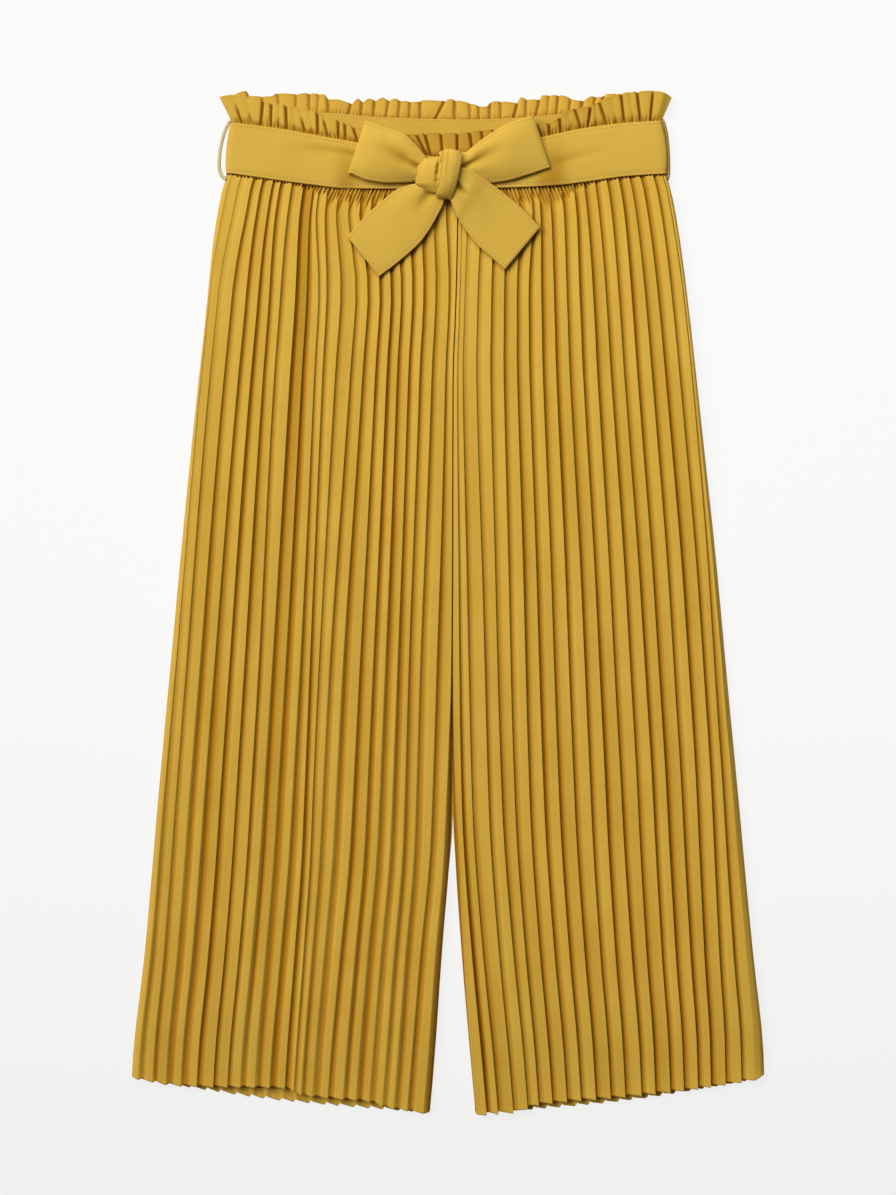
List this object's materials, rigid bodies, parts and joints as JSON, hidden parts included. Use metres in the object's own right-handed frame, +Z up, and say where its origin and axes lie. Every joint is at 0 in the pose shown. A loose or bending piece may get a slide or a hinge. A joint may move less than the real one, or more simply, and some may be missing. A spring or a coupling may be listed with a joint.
{
  "type": "palazzo pants",
  "caption": "Cropped wide-leg pants with knife pleats, a frilled paperbag waist and a tie belt in a bow, laid flat with the front up.",
  "frame": {"origin": "middle of the outline, on the surface that the pants lie on", "axes": "+X to the right as seen from the front, +Y up to the waist, +Z up from the surface"},
  "size_m": [0.4809, 0.7769, 0.025],
  "materials": {
    "pleated_cloth": "mustard woven crepe, heat-pleated, soft matt",
    "belt_cloth": "mustard woven crepe, smooth, soft matt",
    "loop_thread": "pale mustard twisted thread"
  },
  "bodies": {
    "root": {"front_leg_left": "pleated_cloth", "front_leg_right": "pleated_cloth", "back_leg_left": "pleated_cloth", "back_leg_right": "pleated_cloth", "waistband_front": "pleated_cloth", "waistband_back": "pleated_cloth", "waist_facing": "belt_cloth", "belt_front_left": "belt_cloth", "belt_front_right": "belt_cloth", "belt_back": "belt_cloth", "bow_knot": "belt_cloth", "bow_loop_left": "belt_cloth", "bow_loop_right": "belt_cloth", "bow_tail_left": "belt_cloth", "bow_tail_right": "belt_cloth", "belt_loop_left": "loop_thread", "belt_loop_right": "loop_thread"}
  },
  "joints": []
}
